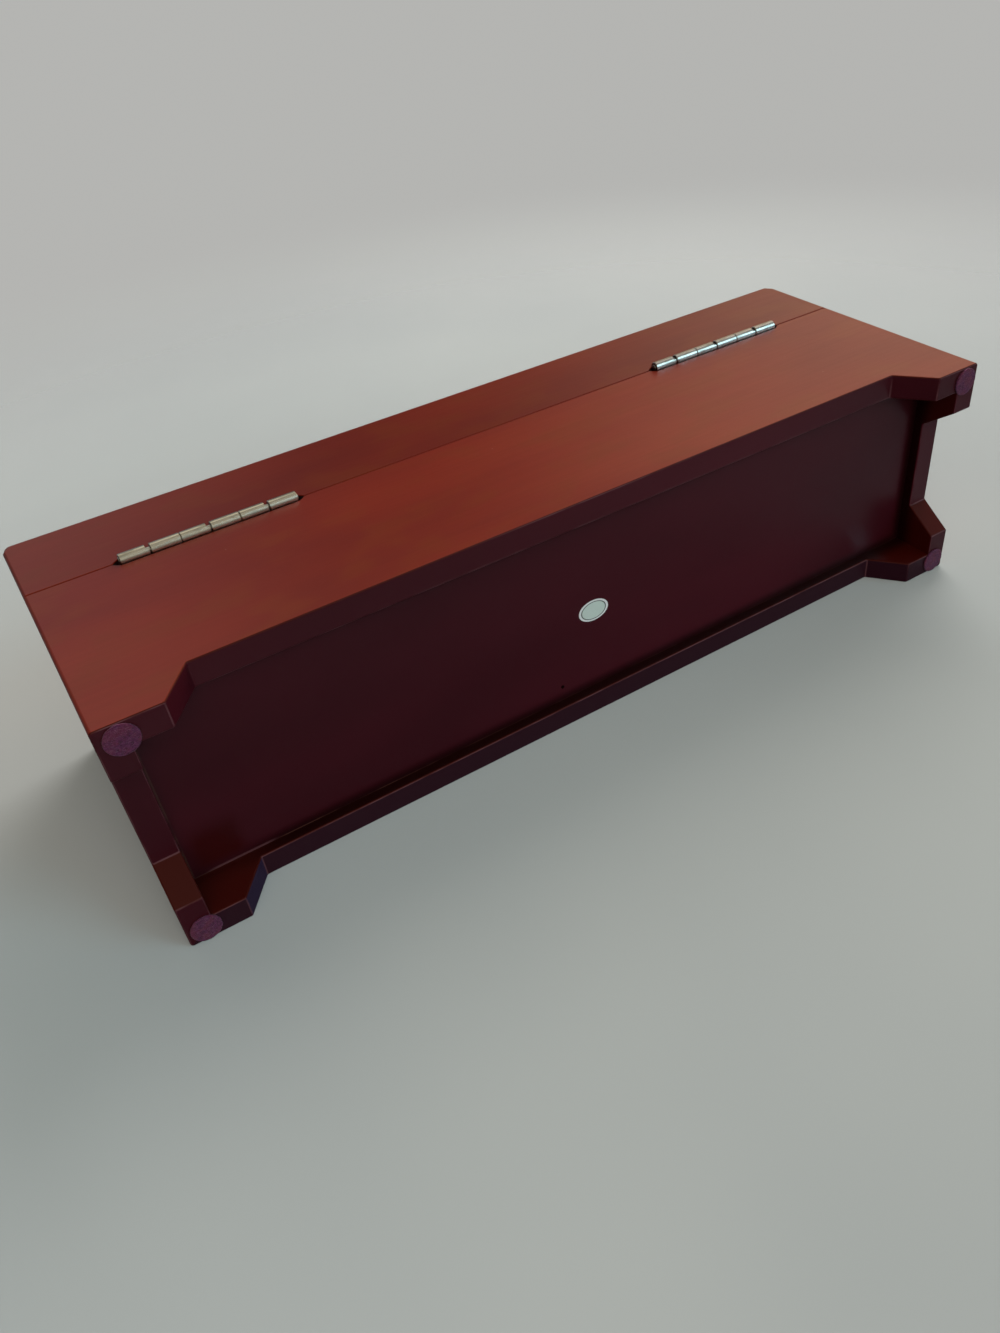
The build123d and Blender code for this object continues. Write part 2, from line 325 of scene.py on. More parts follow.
def split_vector(tree, vector):
    """The X, Y and Z of a vector."""
    return add_node(tree, "ShaderNodeSeparateXYZ", {0: vector}).outputs


def vector_maths(tree, operation, inputs):
    return add_node(tree, "ShaderNodeVectorMath", inputs, operation=operation).outputs


def vector_length(tree, vector):
    return vector_maths(tree, "LENGTH", {0: vector})["Value"]


def remap(tree, value, low, high, to_low=0.0, to_high=1.0):
    """Value from low..high to to_low..to_high, clamped, with soft ends."""
    ends = {"From Min": low, "From Max": high, "To Min": to_low, "To Max": to_high}
    inputs = {"Value": value, **ends}
    node = add_node(tree, "ShaderNodeMapRange", inputs, interpolation_type="SMOOTHSTEP")
    return node.outputs["Result"]


def mix_colour(tree, share, first, second, blend="MIX"):
    """Mixes from the first colour to the second by a share.

    The Mix node takes its share at socket 0 and its two colours at 6 and 7, and gives one at 2.
    """
    node = add_node(tree, "ShaderNodeMix", data_type="RGBA", blend_type=blend)
    for socket, value in ((0, share), (6, first), (7, second)):
        if isinstance(value, bpy.types.NodeSocket):
            tree.links.new(value, node.inputs[socket])
        else:
            node.inputs[socket].default_value = value if socket == 0 else rgba(value)
    return node.outputs[2]


def shade_colour(tree, colour, value):
    """A colour made darker or lighter by one value."""
    grey = add_node(tree, "ShaderNodeCombineColor", {"Red": value, "Green": value, "Blue": value})
    return mix_colour(tree, 1.0, colour, grey.outputs["Color"], "MULTIPLY")


def stretched(tree, coordinates, sizes):
    """Coordinates in which a pattern of scale 1 has features of these sizes along X, Y and Z."""
    scale = [1 / size for size in sizes]
    return add_node(tree, "ShaderNodeMapping", {"Vector": coordinates, "Scale": scale}).outputs[0]


def noise_value(tree, coordinates, sizes, detail=2.0, roughness=0.5, distortion=0.0):
    """Noise from 0 to 1 whose features have these sizes along X, Y and Z."""
    inputs = {
        "Vector": stretched(tree, coordinates, sizes),
        "Scale": 1.0,
        "Detail": detail,
        "Roughness": roughness,
        "Distortion": distortion,
    }
    return add_node(tree, "ShaderNodeTexNoise", inputs).outputs["Fac"]


def empty_tree(owner):
    """The cleared node tree of a material or a world."""
    owner.use_nodes = True
    owner.node_tree.nodes.clear()
    return owner.node_tree


def new_material(name):
    """A material with one Principled shader.

    Returns the material, its tree, its shader and the Object coordinates.
    """
    material = bpy.data.materials.new(name)
    material.use_nodes = True
    tree = material.node_tree
    shader = next(n for n in tree.nodes if n.type == "BSDF_PRINCIPLED")
    coordinates = add_node(tree, "ShaderNodeTexCoord").outputs["Object"]
    return material, tree, shader, coordinates


def add_bump(tree, height, distance, strength, normal=None):
    inputs = {"Height": height, "Distance": distance, "Strength": strength}
    if normal is not None:
        inputs["Normal"] = normal
    return add_node(tree, "ShaderNodeBump", inputs).outputs["Normal"]


def dress(piece, material):
    """Puts one material on a piece."""
    piece.data.materials.clear()
    piece.data.materials.append(material)


# Lacquered boards


def lacquered_wood(board, quarter_turn, shift, body):
    """Stained, close-grained wood under satin lacquer, for one board of the case or the lid.

    Its grain runs along X, or along Y after a quarter turn.
    """
    wood = settings().lacquer
    material, tree, shader, coordinates = new_material(f"{board}_lacquer")
    turn = math.pi / 2 if quarter_turn else 0.0
    inputs = {"Vector": coordinates, "Location": shift, "Rotation": (0.0, 0.0, turn)}
    cut = add_node(tree, "ShaderNodeMapping", inputs).outputs[0]
    facing = split_vector(tree, add_node(tree, "ShaderNodeTexCoord").outputs["Normal"])
    patch_width = wood.patch_length / 2.6
    patches = along_grain(tree, cut, wood.patch_length, patch_width, detail=3.0)
    streaks = along_grain(
        tree, cut, wood.streak_length, wood.streak_width, detail=4.0, roughness=0.62
    )
    pores = along_grain(tree, cut, wood.pore_length, wood.pore_width, detail=1.0)
    open_pores = remap(tree, pores, 0.66, 0.76)
    specks = dust_specks(tree, cut)

    shade = wood.lid_shade if body == "lid" else 1.0
    tone = stained_tone(tree, cut, patches, streaks, open_pores, shade)
    coat = remap(tree, rounded_edges(tree, facing), 0.05, 0.30, wood.coat, wood.arris_coat)
    if body == "case":
        # Faces under the case and between the feet: a darker stain with painted shade and painted
        # reflections
        down = remap(tree, facing["Z"], -0.10, -0.45)
        down = maths(tree, "MAXIMUM", down, under_case(tree, coordinates))
        underside = underside_tone(tree, board, coordinates, facing, patches)
        tone = mix_colour(tree, down, tone, underside)
        # Painted shade in the recess corners, with less lacquer there so it stays dark
        shaded = product(tree, recess_corner_shade(tree, coordinates, facing), wood.shaded)
        tone = mix_colour(tree, shaded, tone, wood.corner_shade_colour)
        coat = product(tree, coat, maths(tree, "SUBTRACT", 1.0, shaded))
        # Painted highlight along the arrises that face down
        highlit = arris_highlights(tree, coordinates, facing)
        tone = mix_colour(tree, highlit, tone, wood.highlight_and_streak)
    if board == "bottom_panel":
        # A thin lighter line along the panel's joints, and a lighter streak by the front wall
        tone = mix_colour(tree, seam_line(tree, coordinates), tone, wood.glue)
        tone = mix_colour(tree, seam_streak(tree, coordinates), tone, wood.highlight_and_streak)
    tone = mix_colour(tree, specks, tone, wood.dust)
    # Painted shadow in the grooves for the hinge barrels
    if board in GROOVED_BOARDS:
        tone = mix_colour(tree, hinge_groove_shadow(tree, coordinates), tone, wood.groove_shadow)
    tree.links.new(tone, shader.inputs["Base Color"])

    rough = remap(tree, streaks, 0.30, 0.70, wood.roughness + 0.02, wood.roughness - 0.02)
    rough = maths(tree, "ADD", rough, product(tree, specks, 0.6))
    tree.links.new(rough, shader.inputs["Roughness"])
    tree.links.new(coat, shader.inputs["Coat Weight"])
    shader.inputs["IOR"].default_value = 1.5
    shader.inputs["Specular IOR Level"].default_value = 0.10
    shader.inputs["Coat Roughness"].default_value = wood.coat_roughness
    shader.inputs["Coat IOR"].default_value = 1.5

    relief = maths(tree, "ADD", product(tree, open_pores, -1.0), product(tree, streaks, 0.3))
    pored = add_bump(tree, relief, distance=0.02 * MM, strength=0.30)
    peel = along_grain(tree, cut, wood.peel_length, wood.peel_width, detail=1.0)
    rippled = add_bump(tree, peel, distance=0.12 * MM, strength=0.18, normal=pored)
    coat_ripples = add_bump(tree, peel, distance=0.12 * MM, strength=0.12)
    tree.links.new(rippled, shader.inputs["Normal"])
    tree.links.new(coat_ripples, shader.inputs["Coat Normal"])
    return material


def along_grain(tree, cut, length, width, detail, roughness=0.5):
    """Noise whose features have a length along the grain and a width across it."""
    return noise_value(tree, cut, (length, width, width), detail, roughness)


def dust_specks(tree, cut):
    """How much the few specks of dust in the lacquer show."""
    wood = settings().lacquer
    inputs = {"Vector": cut, "Scale": 1 / wood.speck_spacing, "Randomness": 1.0}
    cells = add_node(tree, "ShaderNodeTexVoronoi", inputs).outputs
    draw = add_node(tree, "ShaderNodeSeparateColor", {"Color": cells["Color"]}).outputs[0]
    near = remap(tree, cells["Distance"], 0.012, 0.030, 1.0, 0.0)
    chosen = remap(tree, draw, 0.80, 0.84)
    return product(tree, near, chosen, wood.speck_share)


def stained_tone(tree, cut, patches, streaks, open_pores, shade):
    """Colour of the stained wood: even patches, browner blotches, streaks and dark pores."""
    wood = settings().lacquer
    ramp = add_node(tree, "ShaderNodeValToRGB", {"Fac": patches})
    stops = ramp.color_ramp.elements
    stops[0].position = 0.28
    stops[0].color = rgba(wood.dark_stain)
    stops[1].position = 0.74
    stops[1].color = rgba(wood.light_stain)
    stops.new(0.50).color = rgba(wood.stain)
    blotches = along_grain(tree, cut, wood.blotch_length, wood.blotch_length / 2, detail=2.0)
    browner = remap(tree, blotches, 0.48, 0.66, 0.0, wood.blotch_share)
    tone = mix_colour(tree, browner, ramp.outputs["Color"], wood.warm_stain)
    grain = remap(tree, streaks, 0.30, 0.72, 0.96 * shade, 1.03 * shade)
    tone = shade_colour(tree, tone, grain)
    return mix_colour(tree, product(tree, open_pores, wood.pore_share), tone, wood.dark_stain)


def underside_tone(tree, board, coordinates, facing, patches):
    """Colour of a board of the case where it faces down or lies between the feet: a darker stain
    with painted shade and painted reflections.
    """
    wood = settings().lacquer
    cloudy = remap(tree, patches, 0.25, 0.75, 0.82, 1.18)
    # A darker tone under the case, partly stain and partly painted shade
    tone = shade_colour(tree, wood.underside_stain_and_shade, product(tree, cloudy, brighter_left_of_middle(tree, coordinates)))
    if board == "front_wall":
        # Painted bluish reflection of the table on the front wall's slopes that face left
        faces_left = remap(tree, facing["X"], -0.25, -0.45)
        tone = mix_colour(tree, faces_left, wood.front_underside_stain_and_shade, wood.painted_table_reflection)
    if board == "bottom_panel":
        # Painted red reflection on the panel by the front right foot
        tone = mix_colour(tree, red_reflection_patch(tree, coordinates), tone, wood.red_reflection_tone)
    # Painted warm reflection on the end walls' slopes
    sloping = remap(tree, absolute(tree, facing["Z"]), 0.97, 0.90)
    sloping = product(tree, sloping, along_ends(tree, facing))
    tone = mix_colour(tree, sloping, tone, wood.slope_reflection_tone)
    # Painted shade on the upright faces inside the feet
    return mix_colour(tree, upright(tree, facing), tone, wood.inner_feet_shade)


def upright(tree, facing):
    """One on upright surfaces, and zero on level and sloping ones."""
    return remap(tree, absolute(tree, facing["Z"]), 0.30, 0.10)


def along_ends(tree, facing):
    """One on the slopes of the end walls, which face to the front or the back."""
    return remap(tree, absolute(tree, facing["Y"]), 0.25, 0.45)


def under_case(tree, coordinates):
    """One between the feet and under the panel, and zero on the walls' outer faces and above."""
    place = split_vector(tree, vector_maths(tree, "ABSOLUTE", {0: coordinates})[0])
    inset, soft = 1.2 * MM, 0.4 * MM
    along = remap(tree, place["X"], RIGHT - inset, RIGHT - inset + soft, 1.0, 0.0)
    across = remap(tree, place["Y"], BACK - inset, BACK - inset + soft, 1.0, 0.0)
    in_groove = PANEL_UNDERSIDE + 2.6 * MM
    below = remap(tree, place["Z"], in_groove, in_groove + 0.2 * MM, 1.0, 0.0)
    return product(tree, along, across, below)


def recess_corner_shade(tree, coordinates, facing):
    """Grows to one where the panel meets the front and left walls: painted shade in the recess
    corners.
    """
    place = split_vector(tree, coordinates)
    deep = remap(tree, place["Z"], PANEL_UNDERSIDE - 9 * MM, PANEL_UNDERSIDE - 2 * MM)
    far = remap(tree, place["X"], RIGHT - 15 * MM, RIGHT - 45 * MM, 0.25, 1.0)
    on_wall = product(tree, deep, upright(tree, facing), far)
    from_left = maths(tree, "ADD", place["X"], INNER_RIGHT)
    from_front = maths(tree, "ADD", place["Y"], INNER_BACK)
    beside = remap(tree, maths(tree, "MINIMUM", from_left, from_front), 5 * MM, 0.0)
    at_panel = remap(tree, deep, 0.9, 1.0)
    on_panel = product(tree, beside, at_panel, maths(tree, "MAXIMUM", far, 0.45))
    corners = maths(tree, "MAXIMUM", on_wall, on_panel)
    return product(tree, corners, under_case(tree, coordinates))


def brighter_left_of_middle(tree, coordinates):
    """Above one left of the middle of the case, falling to a little under one further away."""
    brightest = -40 * MM
    offset = maths(tree, "SUBTRACT", split_vector(tree, coordinates)["X"], brightest)
    return remap(tree, absolute(tree, offset), 20 * MM, 110 * MM, 1.20, 0.98)


def near_right_end(tree, along, shortest, longest):
    """One between two distances from the box's right end, with soft ends, and zero elsewhere."""
    half = 3 * MM
    past = remap(tree, along, RIGHT - shortest + half, RIGHT - shortest - half)
    before = remap(tree, along, RIGHT - longest - half, RIGHT - longest + half)
    return product(tree, past, before)


def red_reflection_patch(tree, coordinates):
    """Grows to nearly one on a soft patch of the panel, by the front right foot, where a red
    reflection is painted.
    """
    place = split_vector(tree, coordinates)
    from_front = maths(tree, "ADD", place["Y"], INNER_BACK)
    beside = remap(tree, from_front, 23 * MM, 13 * MM, 0.0, 0.95)
    clear = remap(tree, from_front, 1 * MM, 5 * MM)
    return product(tree, beside, clear, near_right_end(tree, place["X"], 12 * MM, 27 * MM))


def seam_streak(tree, coordinates):
    """A short lighter streak on the panel, along the front wall near the box's right end."""
    place = split_vector(tree, coordinates)
    from_front = maths(tree, "ADD", place["Y"], INNER_BACK)
    beside = remap(tree, from_front, 1.1 * MM, 0.7 * MM, 0.0, 0.62)
    smear = near_right_end(tree, place["X"], 15 * MM, 36 * MM)
    return product(tree, beside, on_underside(tree, place), smear)


def seam_line(tree, coordinates):
    """A thin, broken lighter line along the panel's right end and its long sides."""
    place = split_vector(tree, coordinates)
    from_right = maths(tree, "SUBTRACT", INNER_RIGHT, place["X"])
    from_side = maths(tree, "SUBTRACT", INNER_BACK, absolute(tree, place["Y"]))
    from_wall = maths(tree, "MINIMUM", from_right, from_side)
    line = remap(tree, from_wall, 0.50 * MM, 0.25 * MM)
    drops = noise_value(tree, coordinates, (18 * MM,) * 3)
    broken = remap(tree, drops, 0.42, 0.56, 0.10, 0.80)
    to_right = remap(tree, place["X"], 0.0, RIGHT - 40 * MM, 0.25, 1.0)
    return product(tree, line, broken, on_underside(tree, place), to_right)


def on_underside(tree, place):
    """One on the bottom panel's underside, and zero above it."""
    return maths(tree, "LESS_THAN", place["Z"], PANEL_UNDERSIDE + 0.2 * MM)


def arris_highlights(tree, coordinates, facing):
    """Grows along the arrises that face down, here more, there less: a painted highlight."""
    down = product(tree, facing["Z"], -1.0)
    turning = product(tree, remap(tree, down, 0.66, 0.76), remap(tree, down, 0.985, 0.96))
    inner, outer = back_edge_highlights(tree, coordinates)
    turning = maths(tree, "MAXIMUM", product(tree, turning, outer), inner)
    patchy = noise_value(tree, coordinates, (12 * MM,) * 3, detail=3.0)
    return product(tree, turning, remap(tree, patchy, 0.36, 0.60, 0.10, 0.75))


def back_edge_highlights(tree, coordinates):
    """Painted highlight on the two lower edges of the back wall between its feet.

    Inner edge: how strong the highlight is, which grows to the left, and zero elsewhere. Outer
    edge:
    the share of its highlight that stays, which is little except in the middle, and one elsewhere.
    """
    place = split_vector(tree, coordinates)
    from_level = absolute(tree, maths(tree, "SUBTRACT", place["Z"], WALL_UNDERSIDE))
    between = remap(tree, from_level, 0.6 * MM, 0.9 * MM, 1.0, 0.0)
    from_inside = maths(tree, "SUBTRACT", place["Y"], INNER_BACK)
    behind = product(tree, between, maths(tree, "GREATER_THAN", from_inside, -0.1 * MM))
    narrow = remap(tree, from_inside, 0.65 * MM, 0.90 * MM, 1.0, 0.0)
    to_left = remap(tree, place["X"], 90 * MM, 40 * MM, 0.0, 0.55)
    inner = product(tree, narrow, behind, to_left)
    from_middle = absolute(tree, place["X"])
    lost = remap(tree, from_middle, 15 * MM, 50 * MM, 0.10, 0.95)
    on_outer = remap(tree, from_inside, 7.6 * MM, 7.9 * MM)
    return inner, maths(tree, "SUBTRACT", 1.0, product(tree, lost, on_outer, behind))


def rounded_edges(tree, facing):
    """More than zero where a surface turns from one side to another, or to the top or underside."""
    across = absolute(tree, product(tree, facing["X"], facing["Y"]))
    level = maths(tree, "SUBTRACT", 1.0, product(tree, facing["Z"], facing["Z"]))
    steep = maths(tree, "SQRT", maths(tree, "MAXIMUM", level, 0.0))
    over = product(tree, absolute(tree, facing["Z"]), steep)
    return maths(tree, "MAXIMUM", across, over)


def hinge_groove_shadow(tree, coordinates):
    """One in the grooves for the hinge barrels, below the back face, where a shadow is painted, and
    zero elsewhere.
    """
    low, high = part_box("left_hinge_pin")
    middle = (low + high) / 2
    half_length = (high.x - low.x) / 2 + 4 * MM
    half_height = 2.6 * MM
    place = split_vector(tree, coordinates)
    from_middle = absolute(tree, place["X"])
    aside = absolute(tree, maths(tree, "SUBTRACT", from_middle, -middle.x))
    raised = absolute(tree, maths(tree, "SUBTRACT", place["Z"], middle.z))
    along = maths(tree, "LESS_THAN", aside, half_length)
    up = maths(tree, "LESS_THAN", raised, half_height)
    deep = remap(tree, place["Y"], BACK - 0.35 * MM, BACK - 0.15 * MM, 1.0, 0.0)
    behind = maths(tree, "GREATER_THAN", place["Y"], BACK - 2.0 * MM)
    return product(tree, along, up, deep, behind)


def finish_boards(body):
    """Gives each board of one body its own cut of the same wood, a step on from the last."""
    along, across = 0.37, 0.23
    boards = [(board, False) for board in LONG_BOARDS[body]]
    boards += [(board, True) for board in END_BOARDS[body]]
    start = 0.11 if body == "lid" else 0.0
    for number, (board, quarter_turn) in enumerate(boards):
        shift = (along * number + start, across * number, 0.0)
        dress(nodes[board], lacquered_wood(board, quarter_turn, shift, body))


class STORAGEBOX_OT_finish_case_boards(Operator):
    """Stain and lacquer the four walls and the bottom panel"""

    bl_idname = "storage_box.finish_case_boards"
    bl_label = "Finish Case Boards"

    def execute(self, context):
        finish_boards("case")
        return {"FINISHED"}


class STORAGEBOX_OT_finish_lid_boards(Operator):
    """Stain and lacquer the four rails and the lid panel"""

    bl_idname = "storage_box.finish_lid_boards"
    bl_label = "Finish Lid Boards"

    def execute(self, context):
        finish_boards("lid")
        return {"FINISHED"}


# Hinges


def brushed_metal(name, bright, dull, roughness):
    """Metal with brush marks along X, and dull patches."""
    metal = settings().metal
    material, tree, shader, coordinates = new_material(name)
    fine = {"detail": 3.0, "roughness": 0.6}
    marks = along_grain(tree, coordinates, metal.brush_length, metal.brush_width, **fine)
    patches = along_grain(tree, coordinates, metal.dull_length, metal.dull_width, **fine)
    dulled = remap(tree, patches, 0.45, 0.75)
    tone = mix_colour(tree, dulled, bright, dull)
    facing = split_vector(tree, add_node(tree, "ShaderNodeTexCoord").outputs["Normal"])
    # Painted shade on faces that face along the hinge, such as the knuckles' ends
    ends = remap(tree, absolute(tree, facing["X"]), 0.70, 0.95, 0.0, 0.85)
    tone = mix_colour(tree, ends, tone, metal.knuckle_end_shade)
    tree.links.new(tone, shader.inputs["Base Color"])
    rough = remap(tree, marks, 0.30, 0.70, roughness - 0.07, roughness + 0.09)
    rough = maths(tree, "ADD", rough, product(tree, dulled, 0.12))
    tree.links.new(rough, shader.inputs["Roughness"])
    shader.inputs["Metallic"].default_value = 1.0
    brushed = add_bump(tree, marks, distance=0.02 * MM, strength=0.25)
    tree.links.new(brushed, shader.inputs["Normal"])
    return material


class STORAGEBOX_OT_finish_hinges(Operator):
    """Plate the leaves and brighten the pins and screws of both hinges"""

    bl_idname = "storage_box.finish_hinges"
    bl_label = "Finish Hinges"

    def execute(self, context):
        metal = settings().metal
        nickel = brushed_metal("nickel_plate", metal.nickel, metal.dull_nickel, 0.27)
        steel = brushed_metal("bright_steel", metal.steel, metal.dull_nickel, 0.32)
        for name in HINGE_LEAVES:
            dress(nodes[name], nickel)
        for name in HINGE_STEEL:
            dress(nodes[name], steel)
        return {"FINISHED"}


# Felt pads


def pressed_felt():
    """Matted wool with pale loose fibres."""
    felt = settings().felt
    material, tree, shader, coordinates = new_material("pressed_felt")
    tufts = noise_value(
        tree, coordinates, (felt.tuft,) * 3, detail=3.0, roughness=0.65, distortion=0.6
    )
    hues = noise_value(tree, coordinates, (felt.hue_patch,) * 3, roughness=0.55, distortion=0.4)
    pits = noise_value(tree, coordinates, (felt.tuft * 1.5,) * 3, roughness=0.6, distortion=0.8)
    strand = (felt.tuft * 1.6, felt.tuft / 6, felt.tuft / 6)
    strands = noise_value(tree, coordinates, strand, roughness=0.6, distortion=1.5)
    tone = mix_colour(tree, remap(tree, tufts, 0.32, 0.62), felt.dark_felt, felt.felt)
    tone = mix_colour(tree, remap(tree, hues, 0.40, 0.62, 0.0, 0.55), tone, felt.red_felt)
    tone = mix_colour(tree, remap(tree, pits, 0.60, 0.70, 0.0, 0.55), tone, felt.dark_felt)
    tone = mix_colour(tree, remap(tree, strands, 0.54, 0.70, 0.0, 0.75), tone, felt.pale_fibre)
    tree.links.new(tone, shader.inputs["Base Color"])
    shader.inputs["Roughness"].default_value = 0.95
    shader.inputs["Specular IOR Level"].default_value = 0.15
    shader.inputs["Sheen Weight"].default_value = 0.12
    shader.inputs["Sheen Roughness"].default_value = 0.55
    matted = add_bump(tree, tufts, distance=0.25 * MM, strength=0.6)
    raised = add_bump(tree, strands, distance=0.08 * MM, strength=0.5, normal=matted)
    tree.links.new(raised, shader.inputs["Normal"])
    return material


def pad_disc(centre, radius, thickness, felt):
    """A pressed disc as a bmesh: softly rounded rims and a matted, uneven surface."""
    rim = thickness * 0.22
    rings, ring_width = 6, radius * 0.135
    lump_depth = felt.fray * 0.6
    disc = bmesh.new()
    bmesh.ops.create_circle(disc, cap_ends=True, segments=56, radius=radius)
    raised = bmesh.ops.extrude_face_region(disc, geom=disc.faces[:])["geom"]
    top = [g for g in raised if isinstance(g, bmesh.types.BMVert)]
    bmesh.ops.translate(disc, verts=top, vec=(0, 0, thickness))
    bmesh.ops.recalc_face_normals(disc, faces=disc.faces[:])
    rims = [e for e in disc.edges if abs(e.verts[0].co.z - e.verts[1].co.z) < thickness / 2]
    bmesh.ops.bevel(
        disc, geom=rims, offset=rim, offset_type="OFFSET", affect="EDGES",
        segments=3, profile=0.5, material=-1,
    )
    caps = sorted(disc.faces, key=lambda face: face.calc_area())[-2:]
    for _ in range(rings):
        bmesh.ops.inset_region(disc, faces=caps, thickness=ring_width, use_even_offset=True)
    bmesh.ops.poke(disc, faces=caps)
    bmesh.ops.translate(disc, verts=disc.verts[:], vec=centre)
    for vert in disc.verts:
        outward = Vector((vert.co.x - centre.x, vert.co.y - centre.y, 0.0))
        share = outward.length / radius
        stray = noise.noise(vert.co / (felt.tuft * 2.2)) * felt.fray
        lump = noise.noise(vert.co / (felt.tuft * 1.4) + Vector((7, 3, 1))) * lump_depth
        if outward.length > 0:
            vert.co += outward.normalized() * (stray - felt.fray) * share
        vert.co.z += lump - math.copysign(lump_depth, vert.co.z - centre.z - thickness / 2)
    return disc


def rest_on_level(pad, level):
    """Flattens what a pad has below the surface that it rests on."""
    for vert in pad.verts:
        vert.co.z = max(vert.co.z, level)


def fibre_mesh(length, width, bend):
    """One loose fibre as a mesh: a thin tapering tube that bends as it goes."""
    steps, taper = 4, 0.85
    fibre = bmesh.new()
    bmesh.ops.create_circle(fibre, cap_ends=False, segments=3, radius=width / 2)
    edges = fibre.edges[:]
    for step in range(steps):
        grown = bmesh.ops.extrude_edge_only(fibre, edges=edges)["geom"]
        ring = [g for g in grown if isinstance(g, bmesh.types.BMVert)]
        edges = [
            g for g in grown
            if isinstance(g, bmesh.types.BMEdge) and all(v in ring for v in g.verts)
        ]
        bmesh.ops.translate(fibre, verts=ring, vec=(0, 0, length / steps))
        pivot = Matrix.Translation(-Vector((0, 0, length * (step + 1) / steps)))
        bmesh.ops.rotate(
            fibre, verts=ring, cent=(0, 0, length * step / steps),
            matrix=Matrix.Rotation(bend / steps, 3, "X"),
        )
        bmesh.ops.scale(fibre, verts=ring, vec=(taper, taper, 1.0), space=pivot)
    bmesh.ops.contextual_create(fibre, geom=edges)
    mesh = bpy.data.meshes.new("fibre")
    fibre.to_mesh(mesh)
    fibre.free()
    return mesh


FIBRE_SEED = 5
# Share of the full length, and bend in degrees
FIBRE_SHAPES = ((0.6, 50), (0.8, 95), (1.0, 70), (1.2, 130))


class STORAGEBOX_OT_lay_felt_pads(Operator):
    """Make the four felt pads under the feet, with their loose fibres"""

    bl_idname = "storage_box.lay_felt_pads"
    bl_label = "Lay Felt Pads"

    def execute(self, context):
        felt = settings().felt
        material = pressed_felt()
        shapes = [
            fibre_mesh(felt.fibre_length * stretch, felt.fibre_width, math.radians(bend))
            for stretch, bend in FIBRE_SHAPES
        ]
        draw = random.Random(FIBRE_SEED)
        for node in FELT_PADS:
            low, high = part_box(node)
            centre = Vector(((low.x + high.x) / 2, (low.y + high.y) / 2, low.z))
            radius = (high.x - low.x) / 2
            thickness = high.z - low.z
            pad = pad_disc(centre, radius, thickness, felt)
            self.scatter_fibres(pad, shapes, draw, centre, radius, thickness)
            rest_on_level(pad, low.z)
            mesh = bpy.data.meshes.new(f"{node}_pressed")
            pad.to_mesh(mesh)
            pad.free()
            mesh.shade_smooth()
            piece = bpy.data.objects.new(f"{node}_pressed", mesh)
            context.scene.collection.objects.link(piece)
            dress(piece, material)
            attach(piece, "case")
            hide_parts(node)
        for shape in shapes:
            bpy.data.meshes.remove(shape)
        return {"FINISHED"}

    def scatter_fibres(self, pad, shapes, draw, centre, radius, thickness):
        """Lays fibres nearly flat on the underside of a pad, and every third one on its rim."""
        felt = settings().felt
        room = felt.fibre_length * 0.5
        for number in range(felt.fibres):
            shape = draw.choice(shapes).copy()
            around = draw.uniform(0, 2 * math.pi)
            heading = draw.uniform(0, 2 * math.pi)
            lean = math.radians(draw.uniform(72, 88))
            on_rim = number % 3 == 0
            if on_rim:
                reach = radius - draw.uniform(0.15, 0.30) * MM
                height = draw.uniform(0.15, 0.85) * thickness
                heading = around + math.pi / 2 + draw.uniform(-0.5, 0.5)
            else:
                reach = (radius - room) * math.sqrt(draw.random())
                height = draw.uniform(0.04, 0.12) * MM
            place = centre + Vector((math.cos(around) * reach, math.sin(around) * reach, height))
            shape.transform(
                Matrix.Translation(place)
                @ Matrix.Rotation(heading, 4, "Z")
                @ Matrix.Rotation(lean, 4, "Y")
                @ Matrix.Rotation(draw.uniform(0, 2 * math.pi), 4, "Z")
            )
            pad.from_mesh(shape)
            bpy.data.meshes.remove(shape)


# Label


def printed_paper():
    """Gloss paper: pale border, thin ring and tinted field, on the oval's own axes."""
    label = settings().label
    low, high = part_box(LABEL)
    middle = (low + high) / 2
    half = (high - low) / 2
    material, tree, shader, coordinates = new_material("label_print")
    inputs = {
        "Vector": coordinates,
        "Location": middle,
        "Rotation": (0.0, 0.0, label.turn),
        "Scale": (half.x, half.y, 1.0),
    }
    oval = add_node(tree, "ShaderNodeMapping", inputs, vector_type="TEXTURE").outputs[0]
    flat = vector_maths(tree, "MULTIPLY", {0: oval, 1: (1.0, 1.0, 0.0)})[0]
    soft = 0.012
    blot = maths(tree, "SUBTRACT", noise_value(tree, coordinates, (0.4 * MM,) * 3), 0.5)
    reach = maths(tree, "ADD", vector_length(tree, flat), product(tree, blot, soft))
    outer = label.ring_place + label.ring_width
    in_field = remap(tree, reach, label.ring_place - soft, label.ring_place + soft, 1.0, 0.0)
    in_ring = remap(tree, reach, outer - soft, outer + soft, 1.0, 0.0)
    fibres = noise_value(tree, coordinates, (0.9 * MM, 0.2 * MM, 0.4 * MM), detail=3.0)
    tone = mix_colour(tree, in_ring, label.paper, label.ring)
    tone = mix_colour(tree, in_field, tone, label.field)
    tone = mix_colour(tree, remap(tree, fibres, 0.35, 0.75, 0.0, 0.14), tone, label.pulp)
    tree.links.new(tone, shader.inputs["Base Color"])
    tree.links.new(remap(tree, fibres, 0.3, 0.7, 0.34, 0.46), shader.inputs["Roughness"])
    pressed = add_bump(tree, fibres, distance=0.03 * MM, strength=0.3)
    tree.links.new(pressed, shader.inputs["Normal"])
    return material


class STORAGEBOX_OT_print_label(Operator):
    """Print the blank oval label with its ring"""

    bl_idname = "storage_box.print_label"
    bl_label = "Print Label"

    def execute(self, context):
        dress(nodes[LABEL], printed_paper())
        return {"FINISHED"}


# Studio


